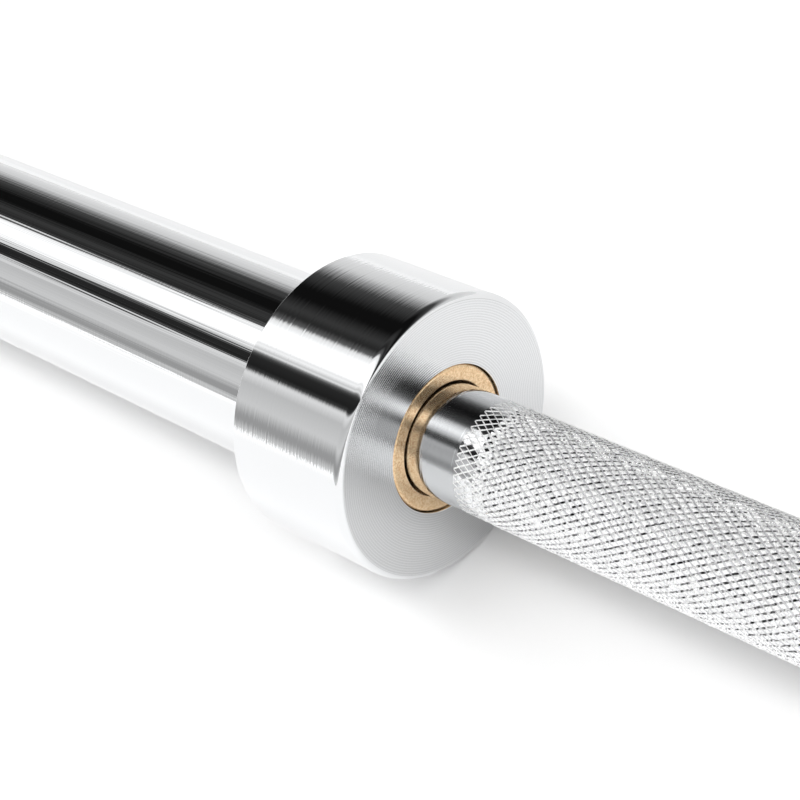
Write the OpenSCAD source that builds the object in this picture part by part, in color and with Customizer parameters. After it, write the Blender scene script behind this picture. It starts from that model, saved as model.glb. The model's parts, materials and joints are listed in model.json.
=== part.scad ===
// Barbell with rotating sleeves on bronze bushings.
// The bar lies along X with its middle at the origin. The right-hand pieces are
// modelled, and the left-hand ones are their mirror images.

/* [Bar] */
// Length of the whole bar
bar_l = 2200; // [2000:10:2300]
// Length of the shaft between the two collars
grip_l = 1310; // [1200:10:1340]

/* [Shaft] */
// Diameter of the smooth shaft between the collars
grip_d = 28; // [27:0.5:30]
// Diameter of the ground journals inside the sleeves
journal_d = 25; // [23:0.5:25.5]
// Height of the knurl's crests above the smooth shaft
knurl_rise = 0.15; // [0.05:0.05:0.4]
// Slope at each end of a knurled band, along the bar
knurl_lead = 0.3; // [0.1:0.1:1]
// Smooth neck between each collar and the knurl
neck_l = 14.5; // [8:0.5:30]
// Distance from a collar to the inner end of its side knurl
side_knurl_end = 445; // [350:5:480]
// Distance from a collar to the near edge of its ring mark
mark_from_collar = 195; // [100:5:250]
// Width of the smooth ring mark
mark_w = 5; // [2:0.5:10]
// Length of the knurl in the middle of the bar
centre_knurl_l = 120; // [60:5:200]
// Bevel on the ends of the shaft
shaft_bevel = 1; // [0.5:0.1:2]
// Bevel on the shoulders between shaft and journals
shoulder_bevel = 0.5; // [0.2:0.1:0.9]

/* [Sleeve] */
// Outside diameter of the sleeve, which the plates slide on
sleeve_d = 50; // [48:0.1:50.5]
// Bore of the sleeve, which holds both bushings
sleeve_bore_d = 30; // [29:0.5:33]
// Diameter of the sleeve's spigot, which the collar is pressed onto
spigot_d = 48; // [46:0.5:49]
// Bevel on the sleeve's outer end
sleeve_bevel = 2; // [1:0.5:3]

/* [Collar] */
// Outside diameter of the collar
collar_d = 72; // [65:1:90]
// Width of the collar along the bar
collar_w = 36; // [28:1:45]
// Thickness of the collar's web, in front of the sleeve
collar_web = 8; // [6:0.5:12]
// Rounding of the collar's front edge
collar_round = 1.8; // [0.5:0.1:3]
// Bevel on the collar's back edge
collar_bevel = 0.4; // [0.2:0.1:1]
// Bevel on the mouth of the collar's bore
mouth_bevel = 0.25; // [0.1:0.05:0.5]

/* [Bushings] */
// Length of each bushing's body inside the sleeve
bush_l = 30; // [20:1:50]
// Diameter of the inner bushing's flange, seen in the collar's face
inner_flange_d = 37; // [35:0.5:40]
// How far the inner flange lies below the collar's face
flange_set = 0.3; // [0:0.1:1]
// Bevel on the inner flange's outer edge
flange_bevel = 1; // [0.4:0.1:1.2]
// Bevel on the inner flange's mouth
lip_bevel = 0.4; // [0.2:0.1:0.6]
// Thickness left behind the mouth, which the shaft's shoulder bears on
step_t = 2.2; // [1.5:0.1:3]
// Diameter of the outer bushing's flange
outer_flange_d = 37; // [34:0.5:37]
// Thickness of the outer bushing's flange
outer_flange_t = 3.5; // [2:0.5:6]
// Bevel on the inside ends of the bushings
bush_bevel = 0.6; // [0.3:0.1:0.9]

/* [Washers] */
// How far the washers' edge lies inside the edge of the outer bushing's flange
washer_inset = 1; // [0.5:0.1:2]
// Thickness of the thrust washer
washer_t = 2.5; // [1.5:0.5:4]
// Thickness of the shim washer
shim_t = 0.5; // [0.3:0.1:1]
// Bevel on the thrust washer's edges
washer_bevel = 0.3; // [0.1:0.1:0.5]

/* [Shaft snap rings] */
// Thickness of each shaft snap ring
snap_t = 1.2; // [1:0.1:1.5]
// Depth of the shaft's ring grooves
snap_groove = 0.6; // [0.4:0.1:0.9]
// Widest part of the ring, opposite its gap
snap_wide = 3; // [2.5:0.1:3.4]
// Narrowest part of the ring, beside its ears
snap_thin = 1.8; // [1.5:0.1:2.2]
// Length of the ring's ears, from its inner edge
snap_ear = 4.4; // [4:0.1:4.8]
// Width of each ear
snap_ear_w = 3.6; // [3.4:0.1:4.2]
// Gap between the ears
snap_gap = 4; // [2:0.5:6]
// Diameter of the plier holes in the ears
snap_hole_d = 2; // [1.6:0.1:2.4]
// Shaft left between the two ring grooves
groove_land = 1.6; // [1:0.1:3]
// Shaft left outside the outer ring groove
shaft_tip = 3; // [2:0.5:6]

/* [End cap] */
// Width of the step that the end cap rests on, outside the outer bushing's flange
cap_step = 1.5; // [1:0.1:1.8]
// Thickness of the end cap
cap_t = 4; // [3:0.5:6]
// Depth of the dish in the end cap's face
dish_depth = 0.8; // [0.4:0.1:1.5]
// Width of the raised rim round the dish
dish_rim = 2.4; // [1.5:0.1:4]
// Air between the end cap and the shaft
cap_air = 2; // [1:0.5:5]
// Width of the lip outside the cap ring's groove
cap_lip = 2.2; // [1.5:0.1:4]
// Bevel inside the sleeve's mouth
lip_chamfer = 0.6; // [0.2:0.1:1]
// Thickness of the ring that holds the end cap
cap_ring_t = 1.8; // [1.2:0.1:2.2]
// Depth of the cap ring's groove
cap_groove = 1.25; // [0.8:0.05:1.6]
// Widest part of the cap ring, opposite its gap
cap_ring_wide = 4; // [3:0.1:4.5]
// Narrowest part of the cap ring, beside its ears
cap_ring_thin = 2.4; // [2:0.1:2.8]
// Length of the cap ring's ears, from its outer edge
cap_ring_ear = 5.8; // [5.2:0.1:6.4]
// Width of each ear
cap_ring_ear_w = 4.6; // [4.2:0.1:5.4]
// Gap between the ears
cap_ring_gap = 7; // [4:0.5:10]
// Diameter of the plier holes in the ears
cap_ring_hole_d = 2.5; // [2:0.1:3]

/* [Clearances] */
// Radial clearance between journal and bushing
run_gap = 0.05; // [0.02:0.01:0.09]
// Radial clearance round the shaft in the bushing's mouth
mouth_gap = 0.4; // [0.2:0.05:0.6]
// Radial clearance of pieces that are pressed together
press_gap = 0.02; // [0.01:0.01:0.05]
// Radial clearance of the flanges, washers, rings and end cap in their seats
seat_gap = 0.1; // [0.05:0.05:0.15]
// Free travel of the sleeve towards each stop
end_play = 0.3; // [0.2:0.05:0.6]
// Sideways clearance of a snap ring in its groove
ring_slack = 0.1; // [0.05:0.05:0.2]

/* [Hidden] */
$fn = 96;

chrome = [0.84, 0.85, 0.86];
bronze = [0.78, 0.60, 0.36];
spring_steel = [0.30, 0.30, 0.32];
washer_steel = [0.62, 0.63, 0.65];

// Radii that several pieces share
grip_r = grip_d / 2;
knurl_r = grip_r + knurl_rise;
journal_r = journal_d / 2;
sleeve_r = sleeve_d / 2;
bore_r = sleeve_bore_d / 2;
spigot_r = spigot_d / 2;
collar_r = collar_d / 2;
inner_flange_r = inner_flange_d / 2;
outer_flange_r = outer_flange_d / 2;
bush_bore_r = journal_r + run_gap;
bush_mouth_r = grip_r + mouth_gap;
snap_seat_r = journal_r - snap_groove;
washer_r = outer_flange_r - washer_inset;
cap_seat_r = outer_flange_r + cap_step;
cap_groove_r = cap_seat_r + cap_groove;

// Stations along the bar, from its middle to its right end
bar_end = bar_l / 2;
collar_face = grip_l / 2;
web_back = collar_face + collar_web;
collar_back = collar_face + collar_w;
flange_face = collar_face + flange_set;
flange_step = web_back - step_t;
shoulder = flange_step - end_play;

cap_groove_out = bar_end - cap_lip;
cap_groove_in = cap_groove_out - cap_ring_t - ring_slack;
cap_seat = cap_groove_in - cap_t;
shaft_end = cap_seat - cap_air;

outer_groove_out = shaft_end - shaft_tip;
snap_groove_w = snap_t + ring_slack;
inner_groove_out = outer_groove_out - snap_groove_w - groove_land;
shim_out = inner_groove_out - snap_t;
washer_out = shim_out - shim_t;
outer_flange_face = washer_out - washer_t - end_play;
outer_flange_back = outer_flange_face - outer_flange_t;

// Turns a profile drawn as [station, radius] round the bar's axis.
module turned() {
    rotate([0, 90, 0]) rotate_extrude() mirror([1, -1, 0]) children();
}

// Makes a flat shape, drawn across the bar, into a plate that ends at a station.
module plate(out, t) {
    translate([out - t, 0, 0]) rotate([0, 90, 0]) linear_extrude(t) children();
}

// Plain tube from one station to the next, with bevelled ends where they are given.
module tube_profile(from, to, r_in, r_out, bevel_from = 0, bevel_to = 0) {
    polygon([
        [from, r_in],
        [to, r_in],
        [to, r_out - bevel_to],
        [to - bevel_to, r_out],
        [from + bevel_from, r_out],
        [from, r_out - bevel_from]
    ]);
}

// Outline of a knurled band, from its inner end to its outer end.
function knurled(from, to) = [
    [from, grip_r],
    [from + knurl_lead, knurl_r],
    [to - knurl_lead, knurl_r],
    [to, grip_r]
];

// Outline of a ring groove that ends at a station.
function grooved(out, w, r) = [
    [out - w, journal_r],
    [out - w, r],
    [out, r],
    [out, journal_r]
];

// Outline of the shaft from the middle of its centre knurl to its right end.
function half_shaft() = concat(
    [
        [centre_knurl_l / 2 - knurl_lead, knurl_r],
        [centre_knurl_l / 2, grip_r]
    ],
    knurled(collar_face - side_knurl_end, collar_face - mark_from_collar - mark_w),
    knurled(collar_face - mark_from_collar, collar_face - neck_l),
    [
        [shoulder - shoulder_bevel, grip_r],
        [shoulder, grip_r - shoulder_bevel],
        [shoulder, journal_r]
    ],
    grooved(inner_groove_out, snap_groove_w, snap_seat_r),
    grooved(outer_groove_out, snap_groove_w, snap_seat_r),
    [
        [shaft_end - shaft_bevel, journal_r],
        [shaft_end, journal_r - shaft_bevel]
    ]
);

// One piece of steel from end to end, with its knurled bands as raised bands.
module shaft() {
    right = half_shaft();
    last = len(right) - 1;
    left = [for (i = [last:-1:0]) [-right[i][0], right[i][1]]];
    color(chrome) turned() polygon(concat([[-shaft_end, 0]], left, right, [[shaft_end, 0]]));
}

// Ring whose web covers the sleeve's end, with a counterbore for the sleeve's spigot.
module collar() {
    bush_seat_r = inner_flange_r + seat_gap;
    color(chrome) turned() difference() {
        union() {
            polygon([
                [collar_face + collar_round, 0],
                [collar_back, 0],
                [collar_back, collar_r - collar_bevel],
                [collar_back - collar_bevel, collar_r],
                [collar_face + collar_round, collar_r]
            ]);
            translate([collar_face, 0]) square([collar_w / 2, collar_r - collar_round]);
            translate([collar_face + collar_round, collar_r - collar_round]) circle(collar_round);
        }
        polygon([
            [collar_face - 1, 0],
            [collar_face - 1, bush_seat_r + mouth_bevel + 1],
            [collar_face + mouth_bevel, bush_seat_r],
            [web_back, bush_seat_r],
            [web_back, spigot_r + press_gap],
            [collar_back + 1, spigot_r + press_gap],
            [collar_back + 1, 0]
        ]);
    }
}

// Tube that the plates slide on. Its spigot fills the collar, whose back rests on the shoulder.
// It is bored for both bushings and counterbored for the end cap.
module sleeve() {
    flange_seat_r = outer_flange_r + press_gap;
    color(chrome) turned() polygon([
        [web_back, bore_r],
        [outer_flange_back, bore_r],
        [outer_flange_back, flange_seat_r],
        [cap_seat, flange_seat_r],
        [cap_seat, cap_seat_r],
        [cap_groove_in, cap_seat_r],
        [cap_groove_in, cap_groove_r],
        [cap_groove_out, cap_groove_r],
        [cap_groove_out, cap_seat_r],
        [bar_end - lip_chamfer, cap_seat_r],
        [bar_end, cap_seat_r + lip_chamfer],
        [bar_end, sleeve_r - sleeve_bevel],
        [bar_end - sleeve_bevel, sleeve_r],
        [collar_back, sleeve_r],
        [collar_back, spigot_r],
        [web_back, spigot_r]
    ]);
}

// Flanged bushing whose face shows in the collar. The shaft's shoulder runs in its mouth.
module inner_bushing() {
    body_r = bore_r - press_gap;
    body_end = web_back + bush_l;
    color(bronze) turned() polygon([
        [flange_face, bush_mouth_r + lip_bevel],
        [flange_face + lip_bevel, bush_mouth_r],
        [flange_step, bush_mouth_r],
        [flange_step, bush_bore_r],
        [body_end - bush_bevel, bush_bore_r],
        [body_end, bush_bore_r + bush_bevel],
        [body_end, body_r - bush_bevel],
        [body_end - bush_bevel, body_r],
        [web_back, body_r],
        [web_back, inner_flange_r],
        [flange_face + flange_bevel, inner_flange_r],
        [flange_face, inner_flange_r - flange_bevel]
    ]);
}

// Flanged bushing at the sleeve's outer end. Its flange takes the outward thrust.
module outer_bushing() {
    body_r = bore_r - press_gap;
    body_start = outer_flange_back - bush_l;
    color(bronze) turned() polygon([
        [body_start, bush_bore_r + bush_bevel],
        [body_start + bush_bevel, bush_bore_r],
        [outer_flange_face, bush_bore_r],
        [outer_flange_face, outer_flange_r],
        [outer_flange_back, outer_flange_r],
        [outer_flange_back, body_r],
        [body_start + bush_bevel, body_r],
        [body_start, body_r - bush_bevel]
    ]);
}

module thrust_washer() {
    color(washer_steel) turned() tube_profile(
        washer_out - washer_t, washer_out, journal_r + seat_gap, washer_r,
        washer_bevel, washer_bevel
    );
}

module shim_washer() {
    color(washer_steel) turned()
        tube_profile(shim_out - shim_t, shim_out, journal_r + seat_gap, washer_r);
}

// Open ring that grips a shaft: thickest opposite its gap, with two ears that plier tips fit.
module shaft_ring_shape() {
    inner_r = snap_seat_r + press_gap;
    outer_r = inner_r + (snap_wide + snap_thin) / 2;
    half_ears = snap_gap / 2 + snap_ear_w;
    difference() {
        union() {
            translate([(snap_wide - snap_thin) / 2, 0]) circle(outer_r);
            intersection() {
                circle(inner_r + snap_ear);
                translate([-2 * outer_r, -half_ears]) square([2 * outer_r, 2 * half_ears]);
            }
        }
        circle(inner_r);
        translate([-2 * outer_r, -snap_gap / 2]) square([2 * outer_r, snap_gap]);
        for (side = [-1, 1])
            translate([-inner_r - snap_ear / 2, side * (snap_gap + snap_ear_w) / 2])
                circle(d = snap_hole_d);
    }
}

module shaft_snap_ring(out) {
    color(spring_steel) plate(out, snap_t) shaft_ring_shape();
}

// Open ring that springs out into a bore's groove, with its two ears turned inwards.
module bore_ring_shape() {
    outer_r = cap_groove_r - press_gap;
    inner_r = outer_r - (cap_ring_wide + cap_ring_thin) / 2;
    half_ears = cap_ring_gap / 2 + cap_ring_ear_w;
    ear_tip = outer_r - cap_ring_ear;
    difference() {
        circle(outer_r);
        difference() {
            translate([-(cap_ring_wide - cap_ring_thin) / 2, 0]) circle(inner_r);
            difference() {
                translate([-2 * outer_r, -half_ears]) square([2 * outer_r, 2 * half_ears]);
                circle(ear_tip);
            }
        }
        translate([-2 * outer_r, -cap_ring_gap / 2]) square([2 * outer_r, cap_ring_gap]);
        for (side = [-1, 1])
            translate([-outer_r + cap_ring_ear / 2, side * (cap_ring_gap + cap_ring_ear_w) / 2])
                circle(d = cap_ring_hole_d);
    }
}

module cap_ring() {
    color(spring_steel) plate(cap_groove_in + cap_ring_t, cap_ring_t) bore_ring_shape();
}

// Plain dished disc that closes the sleeve's end.
module end_cap() {
    cap_r = cap_seat_r - seat_gap;
    dish_r = cap_seat_r + cap_groove - cap_ring_ear - dish_rim;
    color(chrome) turned() polygon([
        [cap_seat, 0],
        [cap_groove_in - dish_depth, 0],
        [cap_groove_in - dish_depth, dish_r],
        [cap_groove_in, dish_r + dish_depth],
        [cap_groove_in, cap_r],
        [cap_seat, cap_r]
    ]);
}

shaft();
mirror([1, 0, 0]) collar();  // left_collar
collar();  // right_collar
mirror([1, 0, 0]) sleeve();  // left_sleeve
sleeve();  // right_sleeve
mirror([1, 0, 0]) inner_bushing();  // left_inner_bushing
inner_bushing();  // right_inner_bushing
mirror([1, 0, 0]) outer_bushing();  // left_outer_bushing
outer_bushing();  // right_outer_bushing
mirror([1, 0, 0]) thrust_washer();  // left_thrust_washer
thrust_washer();  // right_thrust_washer
mirror([1, 0, 0]) shim_washer();  // left_shim_washer
shim_washer();  // right_shim_washer
mirror([1, 0, 0]) shaft_snap_ring(inner_groove_out);  // left_inner_snap_ring
shaft_snap_ring(inner_groove_out);  // right_inner_snap_ring
mirror([1, 0, 0]) shaft_snap_ring(outer_groove_out);  // left_outer_snap_ring
shaft_snap_ring(outer_groove_out);  // right_outer_snap_ring
mirror([1, 0, 0]) end_cap();  // left_end_cap
end_cap();  // right_end_cap
mirror([1, 0, 0]) cap_ring();  // left_cap_ring
cap_ring();  // right_cap_ring
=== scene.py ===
"""Barbell with rotating sleeves: chromed steel, bronze bushings and a cut knurl, on white."""

import json
import math

import bpy
from mathutils import Matrix, Vector


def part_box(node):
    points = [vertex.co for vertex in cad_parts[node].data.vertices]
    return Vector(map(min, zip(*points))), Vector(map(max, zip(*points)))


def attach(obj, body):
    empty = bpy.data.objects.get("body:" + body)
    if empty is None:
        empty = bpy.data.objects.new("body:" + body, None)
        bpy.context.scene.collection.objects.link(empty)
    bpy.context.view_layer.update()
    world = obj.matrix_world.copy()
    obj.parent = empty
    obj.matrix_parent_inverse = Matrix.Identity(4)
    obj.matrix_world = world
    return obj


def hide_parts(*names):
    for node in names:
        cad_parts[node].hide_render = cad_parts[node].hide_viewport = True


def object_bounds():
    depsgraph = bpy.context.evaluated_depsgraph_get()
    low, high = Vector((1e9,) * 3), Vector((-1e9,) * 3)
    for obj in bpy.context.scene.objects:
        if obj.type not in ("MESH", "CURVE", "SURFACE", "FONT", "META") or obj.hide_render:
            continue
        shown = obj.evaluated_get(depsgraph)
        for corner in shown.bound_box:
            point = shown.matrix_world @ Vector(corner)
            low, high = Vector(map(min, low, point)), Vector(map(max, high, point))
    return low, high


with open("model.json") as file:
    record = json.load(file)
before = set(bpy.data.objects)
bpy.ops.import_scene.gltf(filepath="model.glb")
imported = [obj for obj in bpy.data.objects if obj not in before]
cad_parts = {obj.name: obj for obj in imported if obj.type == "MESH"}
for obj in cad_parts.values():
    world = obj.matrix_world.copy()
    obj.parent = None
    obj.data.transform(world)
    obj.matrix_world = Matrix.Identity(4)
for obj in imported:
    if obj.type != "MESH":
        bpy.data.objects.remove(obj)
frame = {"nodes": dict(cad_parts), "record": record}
cad_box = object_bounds()

# Sizes in metres, as on the real bar. The bar lies along X with its middle at the origin.
MM = 0.001
COLLAR_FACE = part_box("right_collar")[0].x
COLLAR_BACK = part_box("right_collar")[1].x
WEB_BACK = COLLAR_FACE + 8 * MM
BAR_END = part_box("right_sleeve")[1].x
SHAFT_END = -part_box("shaft")[0].x
FLOOR_Z = cad_box[0].z
COLLAR_R = 36 * MM
SLEEVE_R = 25 * MM
SHAFT_R = 14 * MM
JOURNAL_R = 12.5 * MM
BORE_R = 15 * MM
NECK_L = 14.5 * MM
SHOULDER = COLLAR_FACE + 5.5 * MM
SIDE_KNURL_END = 445 * MM
MARK_FROM_COLLAR = 195 * MM
MARK_W = 5 * MM
CENTRE_KNURL_HALF = 60 * MM
# The right-hand side's knurled stretches, from and to, with the ring mark between them
INNER_KNURL = (COLLAR_FACE - SIDE_KNURL_END, COLLAR_FACE - MARK_FROM_COLLAR - MARK_W)
OUTER_KNURL = (COLLAR_FACE - MARK_FROM_COLLAR, COLLAR_FACE - NECK_L)
CAP_BACK = BAR_END - 8.1 * MM
CAP_FRONT = BAR_END - 4.1 * MM

# Turned pieces: how many sides a full turn has, and up to which angle their edges shade smooth
PIECE_SIDES = 256
SHAFT_SIDES = 192
TURNED_SMOOTH = math.radians(32)
# Points closer than these are one: on a turned piece, and between the knurl's copies
SAME_POINT = 0.001 * MM
SAME_CORNER = 0.004 * MM
# How near a point lies to the edge that it is taken for
ON_EDGE = 0.01 * MM

# The knurl's diamonds, which are longer along the bar than across it
DIAMONDS_ROUND = 50
DIAMOND_L = 2.92 * MM
# The smooth shaft drops to this radius under the knurl
CORE_R = 13.3 * MM
# How far the cutting has torn the knurl's points, and up to which angle its edges shade smooth
TORN = 0.08 * MM
KNURL_SMOOTH = math.radians(18)
# The knurl's cuts, from its end beside the collar: rows of diamonds, half a groove's width, and the
# radius of the groove, of the diamonds' rims and of their crowns
LEAD_CUT = (2, 0.13 * MM, 13.85 * MM, 14.01 * MM, 14.03 * MM)
SECOND_CUT = (1, 0.3 * MM, 13.68 * MM, 13.94 * MM, 14.05 * MM)
FULL_CUT = (None, 0.21 * MM, 13.6 * MM, 13.9 * MM, 14.12 * MM)
# One of the two wheels cuts deeper: its grooves widen by this share of a diamond
WHEEL_BIAS = 0.08

# Polishing streaks: how quickly they change along the bar and across it, per metre
STREAK_SCALE = (12.0, 1600.0, 1600.0)
# A facing tool's chatter between its rings, and how high the rings are against it
CHATTER = 0.5 * MM
RING_SHARE = 0.9

# Camera of the photograph: where it stands, what it looks at, its roll and its lens
CAMERA_PLACE = (-366.56 * MM, -188.42 * MM, 326.36 * MM)
CAMERA_AIM = (-675.15 * MM, 4.64 * MM, 0.0)
CAMERA_ROLL = math.radians(-23.73)
CAMERA_LENS = 90.33

# What stands round the bar, as an angle in degrees from overhead and the grey it gives in the
# chrome. They were measured across the bands in the photograph's chrome, thinned out and rounded.
# The camera's side is negative: from below up, the white floor and wall, a grey table edge, a pale
# wall, a light strip, the dark ceiling, and a softbox with an edge lamp and a seam.
STUDIO_NEAR = [
    (-180, 245),
    (-97, 240),
    (-90, 205),
    (-83, 150),
    (-78, 150),
    (-68, 200),
    (-52, 185),
    (-44, 220),
    (-41.5, 60),
    (-38, 30),
    (-30, 40),
    (-27, 90),
    (-25.5, 225),
    (-24.5, 225),
    (-23.5, 175),
    (-22, 245),
    (-20.8, 245),
    (-20.2, 200),
    (-19.4, 245),
    (-12, 250),
]
# The far side is positive: the rest of the softbox and its rim, a dark wall, and a pale floor
STUDIO_FAR = [
    (-12, 250),
    (-1, 245),
    (0.5, 230),
    (2, 240),
    (4, 95),
    (10, 35),
    (17, 55),
    (28, 15),
    (40, 15),
    (57, 65),
    (66, 150),
    (73, 200),
    (90, 220),
    (130, 235),
    (180, 245),
]
# Between these angles the softbox is brighter than the picture can show, by this much
SOFTBOX = (-19.4, -1)
SOFTBOX_GAIN = 1.6
# Polished chrome, and the share of the light that it mirrors
CHROME = "#E4E5E6"
CHROME_SHARE = 0.78
# What lights the floor and the knurl: a soft strip light over the camera's side, a weak one below
# it, and very little from the far side
LAMPS = [(-90, 0.15), (-31, 0.35), (-18, 1.0), (-6, 0.16), (0, 0.05), (90, 0.02)]
LAMP_STRENGTH = 4.8
WHITE = "#FFFFFF"
FLOOR_WHITE = "#FAFAFA"
# The floor's width in metres
FLOOR_W = 8
# The floor glows a little. Each zone has the way it is measured, where it starts, where it is full
# and how much it adds: behind the bar, which clears its shadow there, less again farther back,
# where the chrome's upper edge mirrors the floor, in front, where its lower side does, and beyond
# both ends, so that no line of shadow runs on there
GLOWS = [
    ("across", 3 * MM, 25 * MM, 0.4),
    ("across", 45 * MM, 110 * MM, -0.32),
    ("across", -25 * MM, -60 * MM, 0.25),
    ("along", BAR_END + 15 * MM, BAR_END + 90 * MM, 0.08),
]


def linear(colour):
    """Linear red, green, blue and alpha of an sRGB hex colour."""
    parts = [int(colour[i:i + 2], 16) / 255 for i in (1, 3, 5)]
    return [c / 12.92 if c <= 0.04045 else ((c + 0.055) / 1.055) ** 2.4 for c in parts] + [1.0]


def add(tree, kind, inputs=None, stops=(), **settings):
    """Adds a node with its settings. An input given as a socket is linked, any other is a value.

    Stops are the places and the colours of a node that has a colour ramp.
    """
    node = tree.nodes.new(kind)
    for name, value in settings.items():
        setattr(node, name, value)
    for i, (place, colour) in enumerate(stops):
        ramp = node.color_ramp.elements
        stop = ramp[i] if i < 2 else ramp.new(place)
        stop.position = place
        stop.color = colour
    for name, value in (inputs or {}).items():
        if isinstance(value, bpy.types.NodeSocket):
            tree.links.new(value, node.inputs[name])
        else:
            node.inputs[name].default_value = value
    return node


def deselect():
    """Leaves nothing selected, so that the next operator acts on the new piece alone."""
    bpy.ops.object.select_all(action="DESELECT")


def settle(piece, name, body):
    """Names a finished piece and lets it ride on its body."""
    piece.name = piece.data.name = name
    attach(piece, body)
    return piece


# Modelling

def turned(profile, ring=False, sides=PIECE_SIDES):
    """Turns an outline of (x, radius) points, station by station, into a closed bar or ring."""
    deselect()
    x, r = profile[0]
    bpy.ops.mesh.primitive_circle_add(
        vertices=sides,
        radius=r,
        fill_type="NOTHING" if ring else "NGON",
        location=(x, 0, 0),
        rotation=(0, math.pi / 2, 0),
    )
    piece = bpy.context.object
    bpy.ops.object.transform_apply(location=True, rotation=True, scale=True)
    bpy.ops.object.mode_set(mode="EDIT")
    bpy.ops.mesh.select_all(action="SELECT")
    for next_x, next_r in profile[1:] + (profile[:1] if ring else []):
        bpy.ops.mesh.extrude_region_move(TRANSFORM_OT_translate={"value": (next_x - x, 0, 0)})
        scale = next_r / r
        bpy.ops.transform.resize(value=(1, scale, scale), center_override=(next_x, 0, 0))
        x, r = next_x, next_r
    bpy.ops.mesh.select_all(action="SELECT")
    if ring:
        bpy.ops.mesh.remove_doubles(threshold=SAME_POINT)
    bpy.ops.mesh.normals_make_consistent(inside=False)
    bpy.ops.object.mode_set(mode="OBJECT")
    return piece


def round_edge(piece, x, r, width, segments):
    """Rounds the circular edge that lies at a place along the bar and a radius."""
    for vertex in piece.data.vertices:
        off_x, off_r = abs(vertex.co.x - x), abs(vertex.co.yz.length - r)
        vertex.select = max(off_x, off_r) < ON_EDGE
    for edge in piece.data.edges:
        edge.select = all(piece.data.vertices[v].select for v in edge.vertices)
    for face in piece.data.polygons:
        face.select = False
    bpy.ops.object.mode_set(mode="EDIT")
    bpy.ops.mesh.bevel(offset=width, segments=segments, profile=0.5)
    bpy.ops.object.mode_set(mode="OBJECT")


def polish(piece):
    """Shades a turned piece smooth, with its flats and cylinders true right up to their edges."""
    bpy.ops.object.shade_smooth_by_angle(angle=TURNED_SMOOTH)
    weighted = piece.modifiers.new("true_flats", "WEIGHTED_NORMAL")
    weighted.keep_sharp = True
    bpy.ops.object.modifier_apply(modifier=weighted.name)


def repeat(piece, count, step, closed=False):
    """Copies a piece along a step, or round a closed ring of steps, and joins what touches."""
    marker = bpy.data.objects.new("step", None)
    bpy.context.scene.collection.objects.link(marker)
    marker.matrix_world = step
    bpy.context.view_layer.update()
    array = piece.modifiers.new("copies", "ARRAY")
    array.count = count
    array.use_relative_offset = False
    array.use_object_offset = True
    array.offset_object = marker
    array.use_merge_vertices = True
    array.use_merge_vertices_cap = closed
    array.merge_threshold = SAME_CORNER
    bpy.ops.object.modifier_apply(modifier=array.name)
    bpy.data.objects.remove(marker)


def diamond(x, cut, finish):
    """One diamond of the knurl: four groove walls round a crown, set on the bar's top.

    The finish is its crown's, then that of its walls along each of the two wheels.
    """
    groove_half_w, groove_r, rim_r, crown_r = cut[1:]
    half_turn = math.pi / DIAMONDS_ROUND
    deselect()
    bpy.ops.mesh.primitive_circle_add(
        vertices=4, radius=1, fill_type="NGON", location=(x, 0, groove_r)
    )
    piece = bpy.context.object
    piece.scale = (DIAMOND_L / 2, groove_r * math.sin(half_turn), 1)
    bpy.ops.object.transform_apply(location=True, rotation=True, scale=True)
    # The two side corners go down onto the groove's circle, where the next diamonds' corners are
    for vertex in piece.data.vertices:
        vertex.select = abs(vertex.co.x - x) < DIAMOND_L / 4
    for edge in piece.data.edges:
        edge.select = False
    for face in piece.data.polygons:
        face.select = False
    bpy.ops.object.mode_set(mode="EDIT")
    bpy.ops.transform.translate(value=(0, 0, groove_r * (math.cos(half_turn) - 1)))
    bpy.ops.mesh.select_all(action="SELECT")
    bpy.ops.mesh.inset(thickness=groove_half_w, depth=rim_r - groove_r)
    slant = math.atan2(2 * math.pi * groove_r / DIAMONDS_ROUND, DIAMOND_L)
    wheel = Matrix.Rotation(slant, 3, "Z")
    bpy.ops.transform.resize(
        value=(1, 1 - WHEEL_BIAS, 1),
        orient_type="GLOBAL",
        orient_matrix=wheel,
        orient_matrix_type="GLOBAL",
        center_override=(x, 0, rim_r),
    )
    bpy.ops.mesh.poke(offset=crown_r - rim_r)
    bpy.ops.object.mode_set(mode="OBJECT")
    for material in finish:
        piece.data.materials.append(material)
    for face in piece.data.polygons:
        if len(face.vertices) == 4:
            ahead, far = face.center.x > x, face.center.y > 0
            face.material_index = 1 if ahead == far else 2
    return piece


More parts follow.
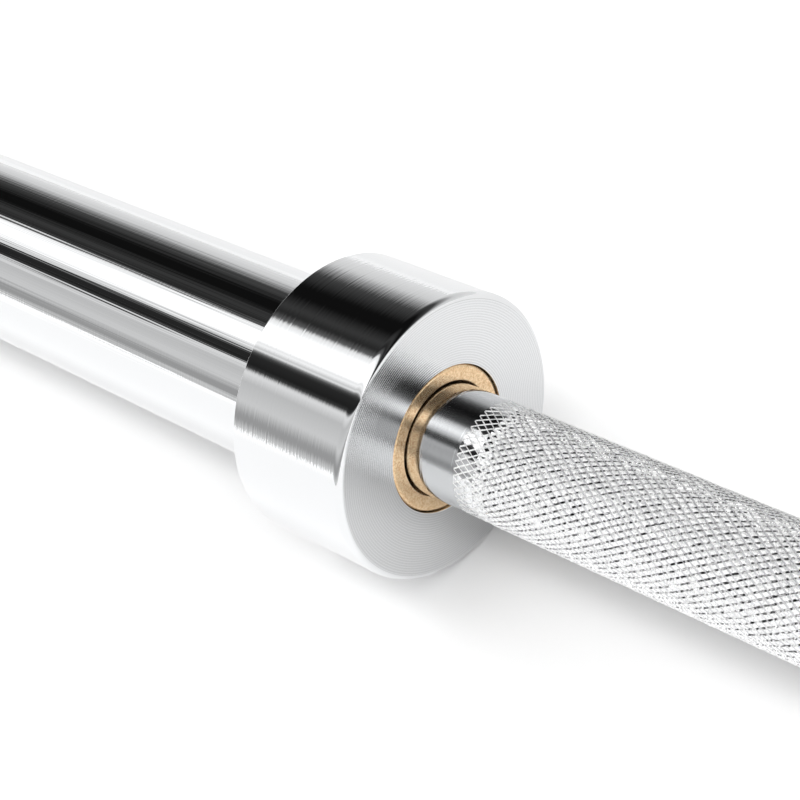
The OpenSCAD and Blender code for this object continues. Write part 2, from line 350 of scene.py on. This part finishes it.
def knurl_run(x_from, x_to, lattice_x, cut, seed, finish):
    """A stretch of knurl with one cut, closed square at both ends, on a shared lattice."""
    half_turn = Matrix.Rotation(math.pi / DIAMONDS_ROUND, 4, "X")
    full_turn = Matrix.Rotation(2 * math.pi / DIAMONDS_ROUND, 4, "X")
    # The first diamond lies wholly before the stretch, so the end is cut through full rows
    start = lattice_x + math.floor((x_from - lattice_x) / DIAMOND_L - 0.6) * DIAMOND_L
    piece = diamond(start, cut, finish)
    repeat(piece, 2, Matrix.Translation((DIAMOND_L / 2, 0, 0)) @ half_turn)
    repeat(piece, DIAMONDS_ROUND, full_turn, closed=True)
    rows = math.ceil((x_to - start) / DIAMOND_L) + 1
    repeat(piece, rows, Matrix.Translation((DIAMOND_L, 0, 0)))
    bpy.ops.object.mode_set(mode="EDIT")
    bpy.ops.mesh.select_all(action="SELECT")
    bpy.ops.transform.vertex_random(offset=TORN, seed=seed)
    for x, way in ((x_from, -1), (x_to, 1)):
        bpy.ops.mesh.select_all(action="SELECT")
        bpy.ops.mesh.bisect(
            plane_co=(x, 0, 0), plane_no=(way, 0, 0), use_fill=True, clear_outer=True
        )
    bpy.ops.mesh.select_all(action="SELECT")
    bpy.ops.mesh.normals_make_consistent(inside=False)
    bpy.ops.object.mode_set(mode="OBJECT")
    bpy.ops.object.shade_smooth_by_angle(angle=KNURL_SMOOTH)
    return piece


def knurl(x_from, x_to, lead_at, seed, finish):
    """A knurled stretch of the shaft. Where it has a lead_at, the tool starts there, shallow."""
    mirror, satin, grey, shaded_dashes = finish
    # In the deep cut, the walls of the last finish carry the grooves' painted shade
    light, deep = (mirror, satin, satin), (satin, grey, shaded_dashes)
    if lead_at is None:
        return knurl_run(x_from, x_to, x_from, FULL_CUT, seed, deep)
    way, last = (1, x_to) if lead_at == x_from else (-1, x_from)
    runs = []
    x = lead_at
    for cut, looks in ((LEAD_CUT, light), (SECOND_CUT, light), (FULL_CUT, deep)):
        end = x + way * cut[0] * DIAMOND_L if cut[0] else last
        runs.append(knurl_run(min(x, end), max(x, end), lead_at, cut, seed, looks))
        x = end
    deselect()
    for run in runs:
        run.select_set(True)
    bpy.ops.object.join()
    return bpy.context.object


def shaft_profile():
    """Outline of the shaft's smooth parts, which drops below the grooves under each knurl."""
    right = [(CENTRE_KNURL_HALF, CORE_R), (CENTRE_KNURL_HALF, SHAFT_R)]
    for low, high in (INNER_KNURL, OUTER_KNURL):
        right += [(low, SHAFT_R), (low, CORE_R), (high, CORE_R), (high, SHAFT_R)]
    right += [(SHOULDER, SHAFT_R), (SHOULDER, JOURNAL_R), (SHAFT_END, JOURNAL_R)]
    left = [(-x, r) for x, r in reversed(right)]
    return left + right


def collar_ring(side):
    """The collar: a ring with a bored web in front and a wide bore for the sleeve behind."""
    bore_r = 18.6 * MM
    seat_r = 24.02 * MM
    piece = turned([
        (side * COLLAR_FACE, bore_r),
        (side * COLLAR_FACE, COLLAR_R),
        (side * COLLAR_BACK, COLLAR_R),
        (side * COLLAR_BACK, seat_r),
        (side * WEB_BACK, seat_r),
        (side * WEB_BACK, bore_r),
    ], ring=True)
    round_edge(piece, side * COLLAR_FACE, COLLAR_R, width=1.8 * MM, segments=8)
    round_edge(piece, side * COLLAR_FACE, bore_r, width=0.25 * MM, segments=2)
    round_edge(piece, side * COLLAR_BACK, COLLAR_R, width=0.4 * MM, segments=2)
    polish(piece)
    return piece


def sleeve_tube(side):
    """The sleeve: a tube with a spigot for the collar, and seats for outer bushing and cap."""
    spigot_r = 24 * MM
    flange_seat = BAR_END - 24 * MM
    seat_r = 18.52 * MM
    cap_r = 20 * MM
    groove_r = 21.25 * MM
    lip = BAR_END - 2.2 * MM
    piece = turned([(side * x, r) for x, r in (
        (WEB_BACK, spigot_r),
        (COLLAR_BACK, spigot_r),
        (COLLAR_BACK, SLEEVE_R),
        (BAR_END, SLEEVE_R),
        (BAR_END, cap_r),
        (lip, cap_r),
        (lip, groove_r),
        (CAP_FRONT, groove_r),
        (CAP_FRONT, cap_r),
        (CAP_BACK, cap_r),
        (CAP_BACK, seat_r),
        (flange_seat, seat_r),
        (flange_seat, BORE_R),
        (WEB_BACK, BORE_R),
    )], ring=True)
    round_edge(piece, side * BAR_END, SLEEVE_R, width=2 * MM, segments=4)
    round_edge(piece, side * BAR_END, cap_r, width=0.6 * MM, segments=2)
    polish(piece)
    return piece


def inner_bush(side):
    """The bronze bushing whose bevelled flange shows in the collar's face."""
    face = COLLAR_FACE + 0.3 * MM
    flange_r = 18.5 * MM
    mouth_r = 14.4 * MM
    body_r = 14.98 * MM
    running_r = 12.55 * MM
    step = COLLAR_FACE + 5.8 * MM
    end = WEB_BACK + 30 * MM
    piece = turned([(side * x, r) for x, r in (
        (face, mouth_r),
        (face, flange_r),
        (WEB_BACK, flange_r),
        (WEB_BACK, body_r),
        (end, body_r),
        (end, running_r),
        (step, running_r),
        (step, mouth_r),
    )], ring=True)
    round_edge(piece, side * face, flange_r, width=1 * MM, segments=3)
    round_edge(piece, side * face, mouth_r, width=0.4 * MM, segments=3)
    polish(piece)
    return piece


def cap_disc(side):
    """The end cap: a disc with a shallow turned dish."""
    rim_r = 19.9 * MM
    dish_r = 13.05 * MM
    dish_depth = 0.8 * MM
    floor = CAP_FRONT - dish_depth
    middle_r = 0.4 * MM
    piece = turned([(side * x, r) for x, r in (
        (CAP_BACK, middle_r),
        (CAP_BACK, rim_r),
        (CAP_FRONT, rim_r),
        (CAP_FRONT, dish_r),
        (floor, dish_r - dish_depth),
        (floor, middle_r),
    )])
    round_edge(piece, side * CAP_FRONT, rim_r, width=0.4 * MM, segments=3)
    round_edge(piece, side * CAP_FRONT, dish_r, width=0.3 * MM, segments=3)
    polish(piece)
    return piece


# Materials

def metal(name, colour, roughness, height, distance, brushed=0.0, mirrored=1.0):
    """A metal of one colour or of a tint that varies. Its bump has a height and a distance.

    Where it is brushed, the marks run round the bar, so what it mirrors blurs more one way than
    the other. Where not all light is mirrored, the surface is too torn and scatters the rest.
    """
    material = bpy.data.materials.new(name)
    material.use_nodes = True
    tree = material.node_tree
    tree.nodes.clear()
    bump = add(
        tree, "ShaderNodeBump", {"Height": height(tree), "Distance": distance, "Strength": 1.0}
    )
    surface = {
        "Base Color": colour(tree) if callable(colour) else linear(colour),
        "Metallic": mirrored,
        "Roughness": roughness,
        "Normal": bump.outputs["Normal"],
    }
    if brushed:
        surface["Anisotropic"] = brushed
        surface["Tangent"] = add(
            tree, "ShaderNodeTangent", direction_type="RADIAL", axis="X"
        ).outputs["Tangent"]
    shader = add(tree, "ShaderNodeBsdfPrincipled", surface)
    add(tree, "ShaderNodeOutputMaterial", {"Surface": shader.outputs["BSDF"]})
    return material


def mottle(size, dark, light, dark_to=0.32, light_from=0.62):
    """A tint that wanders between two colours over a given size in millimetres.

    The closer together their shares of the noise, the harder the edges between them.
    """
    def tint(tree):
        place = add(tree, "ShaderNodeTexCoord").outputs["Object"]
        patches = add(
            tree, "ShaderNodeTexNoise", {"Vector": place, "Scale": 1 / (size * MM), "Detail": 4.0}
        ).outputs["Fac"]
        return add(
            tree,
            "ShaderNodeValToRGB",
            {"Fac": patches},
            stops=[(dark_to, linear(dark)), (light_from, linear(light))],
        ).outputs["Color"]
    return tint


def bar_place(tree):
    """A point's place, how far along the bar it is, and how far from the bar's axis."""
    place = add(tree, "ShaderNodeTexCoord").outputs["Object"]
    parts = add(tree, "ShaderNodeSeparateXYZ", {"Vector": place}).outputs
    across = add(tree, "ShaderNodeCombineXYZ", {"Y": parts["Y"], "Z": parts["Z"]})
    r = add(tree, "ShaderNodeVectorMath", {0: across.outputs["Vector"]}, operation="LENGTH")
    return place, parts["X"], r.outputs["Value"]


def turning_marks(pitch, streaks=0.0):
    """Marks of a turning tool: rings of a given pitch in millimetres, on round and flat faces.

    Streaks are polishing lines along the bar, and say how high these are against the rings.
    """
    def height(tree):
        place, x, r = bar_place(tree)
        sum_up = add(tree, "ShaderNodeMath", {0: x, 1: r}, operation="ADD").outputs["Value"]
        rings = add(
            tree,
            "ShaderNodeTexNoise",
            {"W": sum_up, "Scale": 1 / (pitch * MM), "Detail": 2.0, "Roughness": 0.6},
            noise_dimensions="1D",
        ).outputs["Fac"]
        if not streaks:
            return rings
        long = add(
            tree, "ShaderNodeVectorMath", {0: place, 1: STREAK_SCALE}, operation="MULTIPLY"
        ).outputs["Vector"]
        lines = add(
            tree, "ShaderNodeTexNoise", {"Vector": long, "Scale": 1.0, "Detail": 1.0}
        ).outputs["Fac"]
        return add(
            tree, "ShaderNodeMath", {0: lines, 1: streaks, 2: rings}, operation="MULTIPLY_ADD"
        ).outputs["Value"]
    return height


def ring_wave(tree, r, pitch):
    """A wave outwards over a flat face, from -1 to 1, of a given pitch in millimetres."""
    turns = add(
        tree, "ShaderNodeMath", {0: r, 1: 2 * math.pi / (pitch * MM)}, operation="MULTIPLY"
    ).outputs["Value"]
    return add(tree, "ShaderNodeMath", {0: turns}, operation="SINE").outputs["Value"]


def painted_ring_shade(pitch, dark, light):
    """Painted shade in the facing tool's rings: a tint that darkens their bottoms, where less light
    leaves.
    """
    def tint(tree):
        r = bar_place(tree)[2]
        # The wave's lower half is dark, and from 0.8 up it is light
        return add(
            tree,
            "ShaderNodeValToRGB",
            {"Fac": ring_wave(tree, r, pitch)},
            stops=[(0.0, linear(dark)), (0.8, linear(light))],
        ).outputs["Color"]
    return tint


def facing_rings(pitch):
    """The even rings of a facing tool, of a given feed in millimetres, over its noise."""
    def height(tree):
        r = bar_place(tree)[2]
        wave = ring_wave(tree, r, pitch)
        noise = add(
            tree,
            "ShaderNodeTexNoise",
            {"W": r, "Scale": 1 / CHATTER, "Detail": 2.0},
            noise_dimensions="1D",
        ).outputs["Fac"]
        return add(
            tree, "ShaderNodeMath", {0: wave, 1: RING_SHARE, 2: noise}, operation="MULTIPLY_ADD"
        ).outputs["Value"]
    return height


def grit(size):
    """Fine roughness with grains of a given size in millimetres."""
    def height(tree):
        place = add(tree, "ShaderNodeTexCoord").outputs["Object"]
        return add(
            tree, "ShaderNodeTexNoise", {"Vector": place, "Scale": 1 / (size * MM), "Detail": 2.0}
        ).outputs["Fac"]
    return height


def finishes():
    """Every finish of the bar, by the record's slot.

    A finishing tool's marks lie closer together than these. They are drawn coarser, to show.
    """
    return {
        # Hard chrome over a ground shaft: bright, with grinding marks round it
        "shaft_chrome": metal(
            "ground_hard_chrome",
            CHROME,
            roughness=0.025,
            height=turning_marks(0.5),
            distance=0.018 * MM,
        ),
        # Chrome over a drawn tube: a clear mirror with faint marks round it and along it
        "sleeve_chrome": metal(
            "drawn_sleeve_chrome",
            CHROME,
            roughness=0.04,
            height=turning_marks(0.9, streaks=2.5),
            distance=0.010 * MM,
        ),
        # Chrome over a turned ring: the tool's marks fray the edges of what it mirrors
        "collar_chrome": metal(
            "turned_collar_chrome",
            CHROME,
            roughness=0.035,
            height=turning_marks(0.8),
            distance=0.03 * MM,
        ),
        # Chrome over a turned disc: rings that catch the light
        "cap_chrome": metal(
            "turned_cap_chrome",
            "#CDCED0",
            roughness=0.14,
            height=facing_rings(0.9),
            distance=0.03 * MM,
            brushed=0.9,
        ),
        # Sintered bronze, machined: a soft golden shine over fine stains
        "bushing_bronze": metal(
            "sintered_bronze",
            mottle(0.5, "#D8AF82", "#F4D8B0"),
            roughness=0.2,
            height=turning_marks(0.35),
            distance=0.012 * MM,
            brushed=0.75,
            mirrored=0.74,
        ),
        # Ground washer steel: grey, with a dull shine
        "washer_steel": metal(
            "ground_washer_steel",
            "#A9ABAE",
            roughness=0.25,
            height=turning_marks(0.3),
            distance=0.004 * MM,
        ),
        # Phosphated spring steel: nearly black, and matt
        "spring_steel": metal(
            "phosphated_spring_steel",
            "#3A3A3D",
            roughness=0.45,
            height=grit(0.15),
            distance=0.01 * MM,
        ),
    }


def knurl_chrome():
    """The knurl's finishes: its crowns, and two for the walls of its grooves, one of which has
    painted shade.
    """
    return [
        # Chrome over torn crests: satin, so that it scatters most of the light
        metal(
            "knurled_hard_chrome",
            mottle(0.4, "#D2D2D4", WHITE, dark_to=0.36, light_from=0.5),
            roughness=0.28,
            height=grit(0.35),
            distance=0.15 * MM,
            mirrored=0.3,
        ),
        # Chrome over one wheel's grooves: a satin a little greyer than the crowns
        metal(
            "cut_groove_chrome",
            "#EEEEF0",
            roughness=0.2,
            height=grit(0.35),
            distance=0.1 * MM,
            mirrored=0.42,
        ),
        # The other wheel's grooves: dark, mottled painted shade that stands for the shade and dark
        # reflections deep in the grooves, which breaks them up into dashes
        metal(
            "painted_shade_groove_chrome",
            mottle(0.8, "#404042", WHITE, dark_to=0.4, light_from=0.53),
            roughness=0.15,
            height=grit(0.35),
            distance=0.1 * MM,
        ),
    ]


def faced_chrome():
    """Chrome over a faced ring: the facing tool's fine rings fan out what it mirrors."""
    return metal(
        "faced_collar_chrome",
        # Its colour darkens the rings' bottoms with painted shade
        painted_ring_shade(0.62, "#CFD0D1", "#DCDDDE"),
        roughness=0.14,
        height=facing_rings(0.62),
        distance=0.009 * MM,
        brushed=0.9,
    )


# Studio

def round_the_bar(levels):
    """Angles about the bar and levels of light, as the places and the colours of a ramp."""
    return [((degrees + 180) / 360, [level, level, level, 1]) for degrees, level in levels]


def mirrored_levels(greys):
    """What the studio must give for these greys in the chrome, as a share of the softbox."""
    levels = []
    for degrees, grey in greys:
        share = 1 if SOFTBOX[0] < degrees < SOFTBOX[1] else 1 / SOFTBOX_GAIN
        levels.append((degrees, linear(f"#{grey:02X}{grey:02X}{grey:02X}")[0] * share))
    return levels


def studio_light():
    """A world of soft light, in bands round the bar, which looks plain white by itself."""
    world = bpy.data.worlds.new("studio")
    bpy.context.scene.world = world
    world.use_nodes = True
    tree = world.node_tree
    tree.nodes.clear()
    way = add(tree, "ShaderNodeTexCoord").outputs["Generated"]
    parts = add(tree, "ShaderNodeSeparateXYZ", {"Vector": way}).outputs
    angle = add(
        tree, "ShaderNodeMath", {0: parts["Y"], 1: parts["Z"]}, operation="ARCTAN2"
    ).outputs["Value"]
    share = add(
        tree, "ShaderNodeMapRange", {"Value": angle, "From Min": -math.pi, "From Max": math.pi}
    ).outputs["Result"]
    # A ramp holds 32 stops at most, so the room has two, which meet in the softbox
    meeting = round_the_bar(STUDIO_FAR)[0][0]
    far = add(
        tree, "ShaderNodeMath", {0: share, 1: meeting}, operation="GREATER_THAN"
    ).outputs["Value"]
    near_room, far_room = (
        add(
            tree, "ShaderNodeValToRGB", {"Fac": share}, stops=round_the_bar(mirrored_levels(greys))
        ).outputs["Color"]
        for greys in (STUDIO_NEAR, STUDIO_FAR)
    )
    mirrored = add(
        tree, "ShaderNodeMixRGB", {"Fac": far, "Color1": near_room, "Color2": far_room}
    ).outputs["Color"]
    path = add(tree, "ShaderNodeLightPath").outputs
    # The room shows in the chrome, but what the chrome throws back on the floor is left out
    direct = add(
        tree, "ShaderNodeMath", {0: path["Diffuse Depth"], 1: 0.5}, operation="LESS_THAN"
    ).outputs["Value"]
    power = add(
        tree, "ShaderNodeMath", {0: direct, 1: SOFTBOX_GAIN / CHROME_SHARE}, operation="MULTIPLY"
    ).outputs["Value"]
    room = add(tree, "ShaderNodeBackground", {"Color": mirrored, "Strength": power})
    lamps = add(tree, "ShaderNodeValToRGB", {"Fac": share}, stops=round_the_bar(LAMPS))
    lamps.color_ramp.interpolation = "EASE"
    lamp_light = add(
        tree, "ShaderNodeBackground", {"Color": lamps.outputs["Color"], "Strength": LAMP_STRENGTH}
    )
    backdrop = add(tree, "ShaderNodeBackground", {"Color": linear(WHITE), "Strength": 1.0})
    lit = add(
        tree,
        "ShaderNodeMixShader",
        {0: path["Is Diffuse Ray"], 1: room.outputs[0], 2: lamp_light.outputs[0]},
    )
    seen = add(
        tree,
        "ShaderNodeMixShader",
        {0: path["Is Camera Ray"], 1: lit.outputs[0], 2: backdrop.outputs[0]},
    )
    add(tree, "ShaderNodeOutputWorld", {"Surface": seen.outputs[0]})


def studio_floor():
    """Plain white floor that the collars stand on, with its glowing zones."""
    deselect()
    bpy.ops.mesh.primitive_plane_add(size=FLOOR_W, location=(0, 0, FLOOR_Z))
    floor = bpy.context.object
    floor.name = "floor"
    bpy.ops.object.transform_apply(location=True, rotation=True, scale=True)
    material = bpy.data.materials.new("lit_white_floor")
    material.use_nodes = True
    tree = material.node_tree
    shader = tree.nodes["Principled BSDF"]
    shader.inputs["Base Color"].default_value = linear(FLOOR_WHITE)
    shader.inputs["Roughness"].default_value = 0.9
    shader.inputs["Specular IOR Level"].default_value = 0.0
    shader.inputs["Emission Color"].default_value = linear(WHITE)
    place = add(tree, "ShaderNodeTexCoord").outputs["Object"]
    parts = add(tree, "ShaderNodeSeparateXYZ", {"Vector": place}).outputs
    along = add(tree, "ShaderNodeMath", {0: parts["X"]}, operation="ABSOLUTE").outputs["Value"]
    ways = {"across": parts["Y"], "along": along}
    total = 0.0
    for way, start, end, most in GLOWS:
        zone = add(
            tree,
            "ShaderNodeMapRange",
            {"Value": ways[way], "From Min": start, "From Max": end, "To Max": most},
            interpolation_type="SMOOTHSTEP",
        ).outputs["Result"]
        total = add(tree, "ShaderNodeMath", {0: zone, 1: total}, operation="ADD").outputs["Value"]
    # The glow shows, and shows in the chrome, but it doesn't light the knurl from below
    lights = add(tree, "ShaderNodeLightPath").outputs["Is Diffuse Ray"]
    shows = add(tree, "ShaderNodeMath", {0: 1.0, 1: lights}, operation="SUBTRACT").outputs["Value"]
    glow = add(tree, "ShaderNodeMath", {0: total, 1: shows}, operation="MULTIPLY").outputs["Value"]
    tree.links.new(glow, shader.inputs["Emission Strength"])
    floor.data.materials.append(material)


def camera():
    """The photograph's camera."""
    data = bpy.data.cameras.new("camera")
    data.lens = CAMERA_LENS
    data.clip_start = 0.01
    eye = bpy.data.objects.new("camera", data)
    bpy.context.scene.collection.objects.link(eye)
    way = Vector(CAMERA_AIM) - Vector(CAMERA_PLACE)
    turn = way.to_track_quat("-Z", "Y").to_matrix().to_4x4()
    roll = Matrix.Rotation(CAMERA_ROLL, 4, "Z")
    eye.matrix_world = Matrix.Translation(CAMERA_PLACE) @ turn @ roll
    bpy.context.scene.camera = eye


def dress():
    """Gives every CAD piece its finish."""
    made = finishes()
    slots = {part["node"]: part["material_slot"] for part in frame["record"]["subparts"]}
    for name, node in frame["nodes"].items():
        node.data.materials.clear()
        node.data.materials.append(made[slots[name]])
    return made


def make_shaft(made):
    """The smooth shaft, and its knurled stretches as pieces of their own."""
    smooth = turned(shaft_profile(), sides=SHAFT_SIDES)
    for side in (-1, 1):
        round_edge(smooth, side * SHOULDER, SHAFT_R, width=0.5 * MM, segments=2)
        round_edge(smooth, side * SHAFT_END, JOURNAL_R, width=1 * MM, segments=2)
    polish(smooth)
    settle(smooth, "shaft_smooth", "shaft")
    smooth.data.materials.append(made["shaft_chrome"])
    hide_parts("shaft")
    finish = [made["shaft_chrome"]] + knurl_chrome()
    inner_from, inner_to = INNER_KNURL
    outer_from, outer_to = OUTER_KNURL
    stretches = {
        "right_knurl_outer": (outer_from, outer_to, outer_to),
        "right_knurl_inner": (inner_from, inner_to, None),
        "left_knurl_outer": (-outer_to, -outer_from, -outer_to),
        "left_knurl_inner": (-inner_to, -inner_from, None),
        "centre_knurl": (-CENTRE_KNURL_HALF, CENTRE_KNURL_HALF, None),
    }
    for seed, (name, (x_from, x_to, lead_at)) in enumerate(stretches.items()):
        settle(knurl(x_from, x_to, lead_at, seed, finish), name, "shaft")


def make_ends(made):
    """The turned pieces of both rotating sleeves, fine enough to mirror cleanly."""
    kinds = {
        "collar": (collar_ring, "collar_chrome"),
        "sleeve": (sleeve_tube, "sleeve_chrome"),
        "inner_bushing": (inner_bush, "bushing_bronze"),
        "end_cap": (cap_disc, "cap_chrome"),
    }
    faced = faced_chrome()
    for end, side in (("left", -1), ("right", 1)):
        for kind, (shape, slot) in kinds.items():
            piece = settle(shape(side), f"{end}_{kind}_turned", f"{end}_sleeve_unit")
            piece.data.materials.append(made[slot])
            if kind == "collar":
                piece.data.materials.append(faced)
                # The flat ring that faces the middle of the bar is faced, the rest is turned
                for face in piece.data.polygons:
                    face.material_index = int(side * face.normal.x < -0.99)
            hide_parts(f"{end}_{kind}")


camera()
studio_light()
studio_floor()
made = dress()
make_shaft(made)
make_ends(made)
bpy.context.scene.view_settings.view_transform = "Standard"
